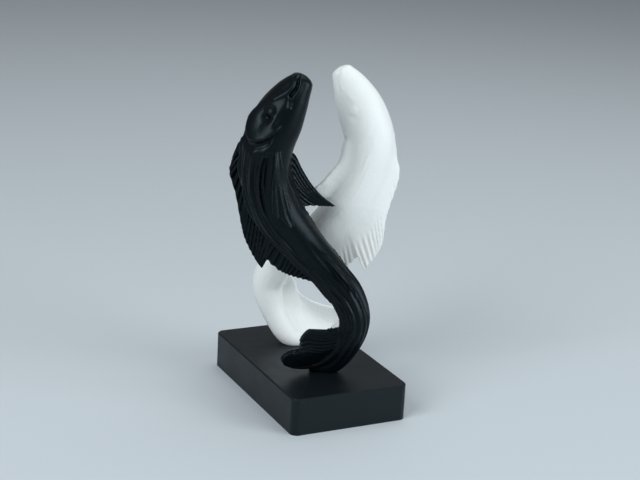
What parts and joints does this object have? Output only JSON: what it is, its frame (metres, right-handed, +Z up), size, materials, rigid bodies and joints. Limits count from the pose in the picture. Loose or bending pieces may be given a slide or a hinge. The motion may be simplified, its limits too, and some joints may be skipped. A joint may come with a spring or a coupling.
{
  "type": "fish figurine",
  "caption": "Ornament of a dark and a pale carp rising tail-down in opposite curls around each other from a plain rectangular plinth.",
  "frame": {"origin": "centre of the plinth's underside, on the upright axis that the two fish turn about", "axes": "+Z up through the fish, X along the plinth's length, Y across its width"},
  "size_m": [0.08, 0.0682, 0.1353],
  "materials": {
    "plinth_black": "matte",
    "fish_black": "satin",
    "fish_white": "satin",
    "screw_steel": "brushed"
  },
  "bodies": {
    "root": {"plinth": "plinth_black", "dark_fish": "fish_black", "pale_fish": "fish_white", "fixing_screws": "screw_steel"}
  },
  "joints": []
}
